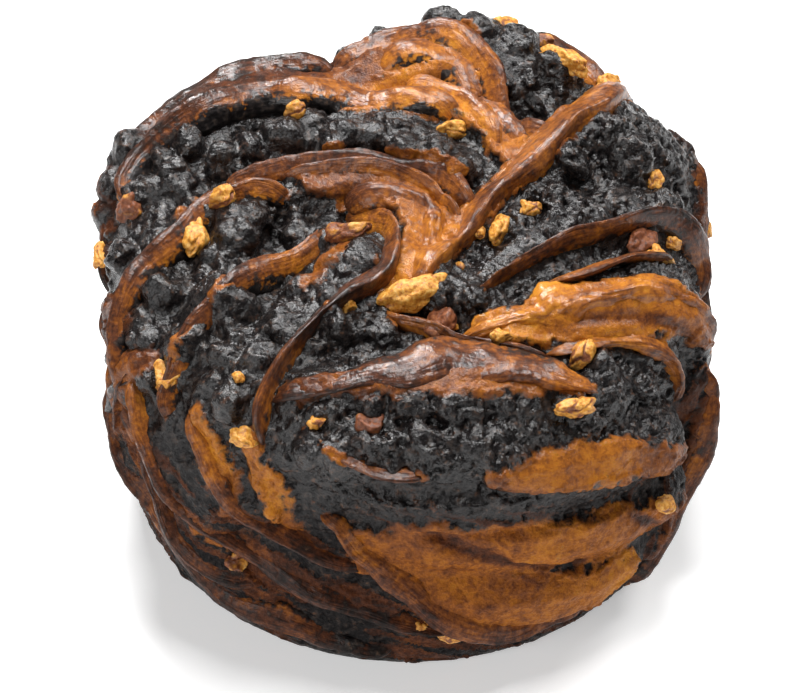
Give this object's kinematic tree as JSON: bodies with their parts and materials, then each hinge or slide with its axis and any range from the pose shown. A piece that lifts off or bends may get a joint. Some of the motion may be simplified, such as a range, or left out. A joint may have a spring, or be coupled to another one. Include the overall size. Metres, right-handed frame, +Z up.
{
  "type": "braided loaf",
  "caption": "Round plaited loaf of filled sweet dough, baked in a tin: ropes knotted over a domed crown, straight wall and flat base.",
  "frame": {"origin": "middle of the flat base, on the surface that the loaf stands on", "axes": "+Z up through the crown, -Y towards the front of the knot, where the short cross rope lies, +X to its right"},
  "size_m": [0.1436, 0.1438, 0.0948],
  "materials": {
    "crust": "egg-glazed baked dough, golden brown to near black on the ridges",
    "filling": "dark baked seed and cocoa filling, crumbly and matt with a slight sheen",
    "walnut": "toasted chopped walnut, golden flesh with brown skin"
  },
  "bodies": {
    "root": {"braided_loaf": "crust"}
  },
  "joints": []
}
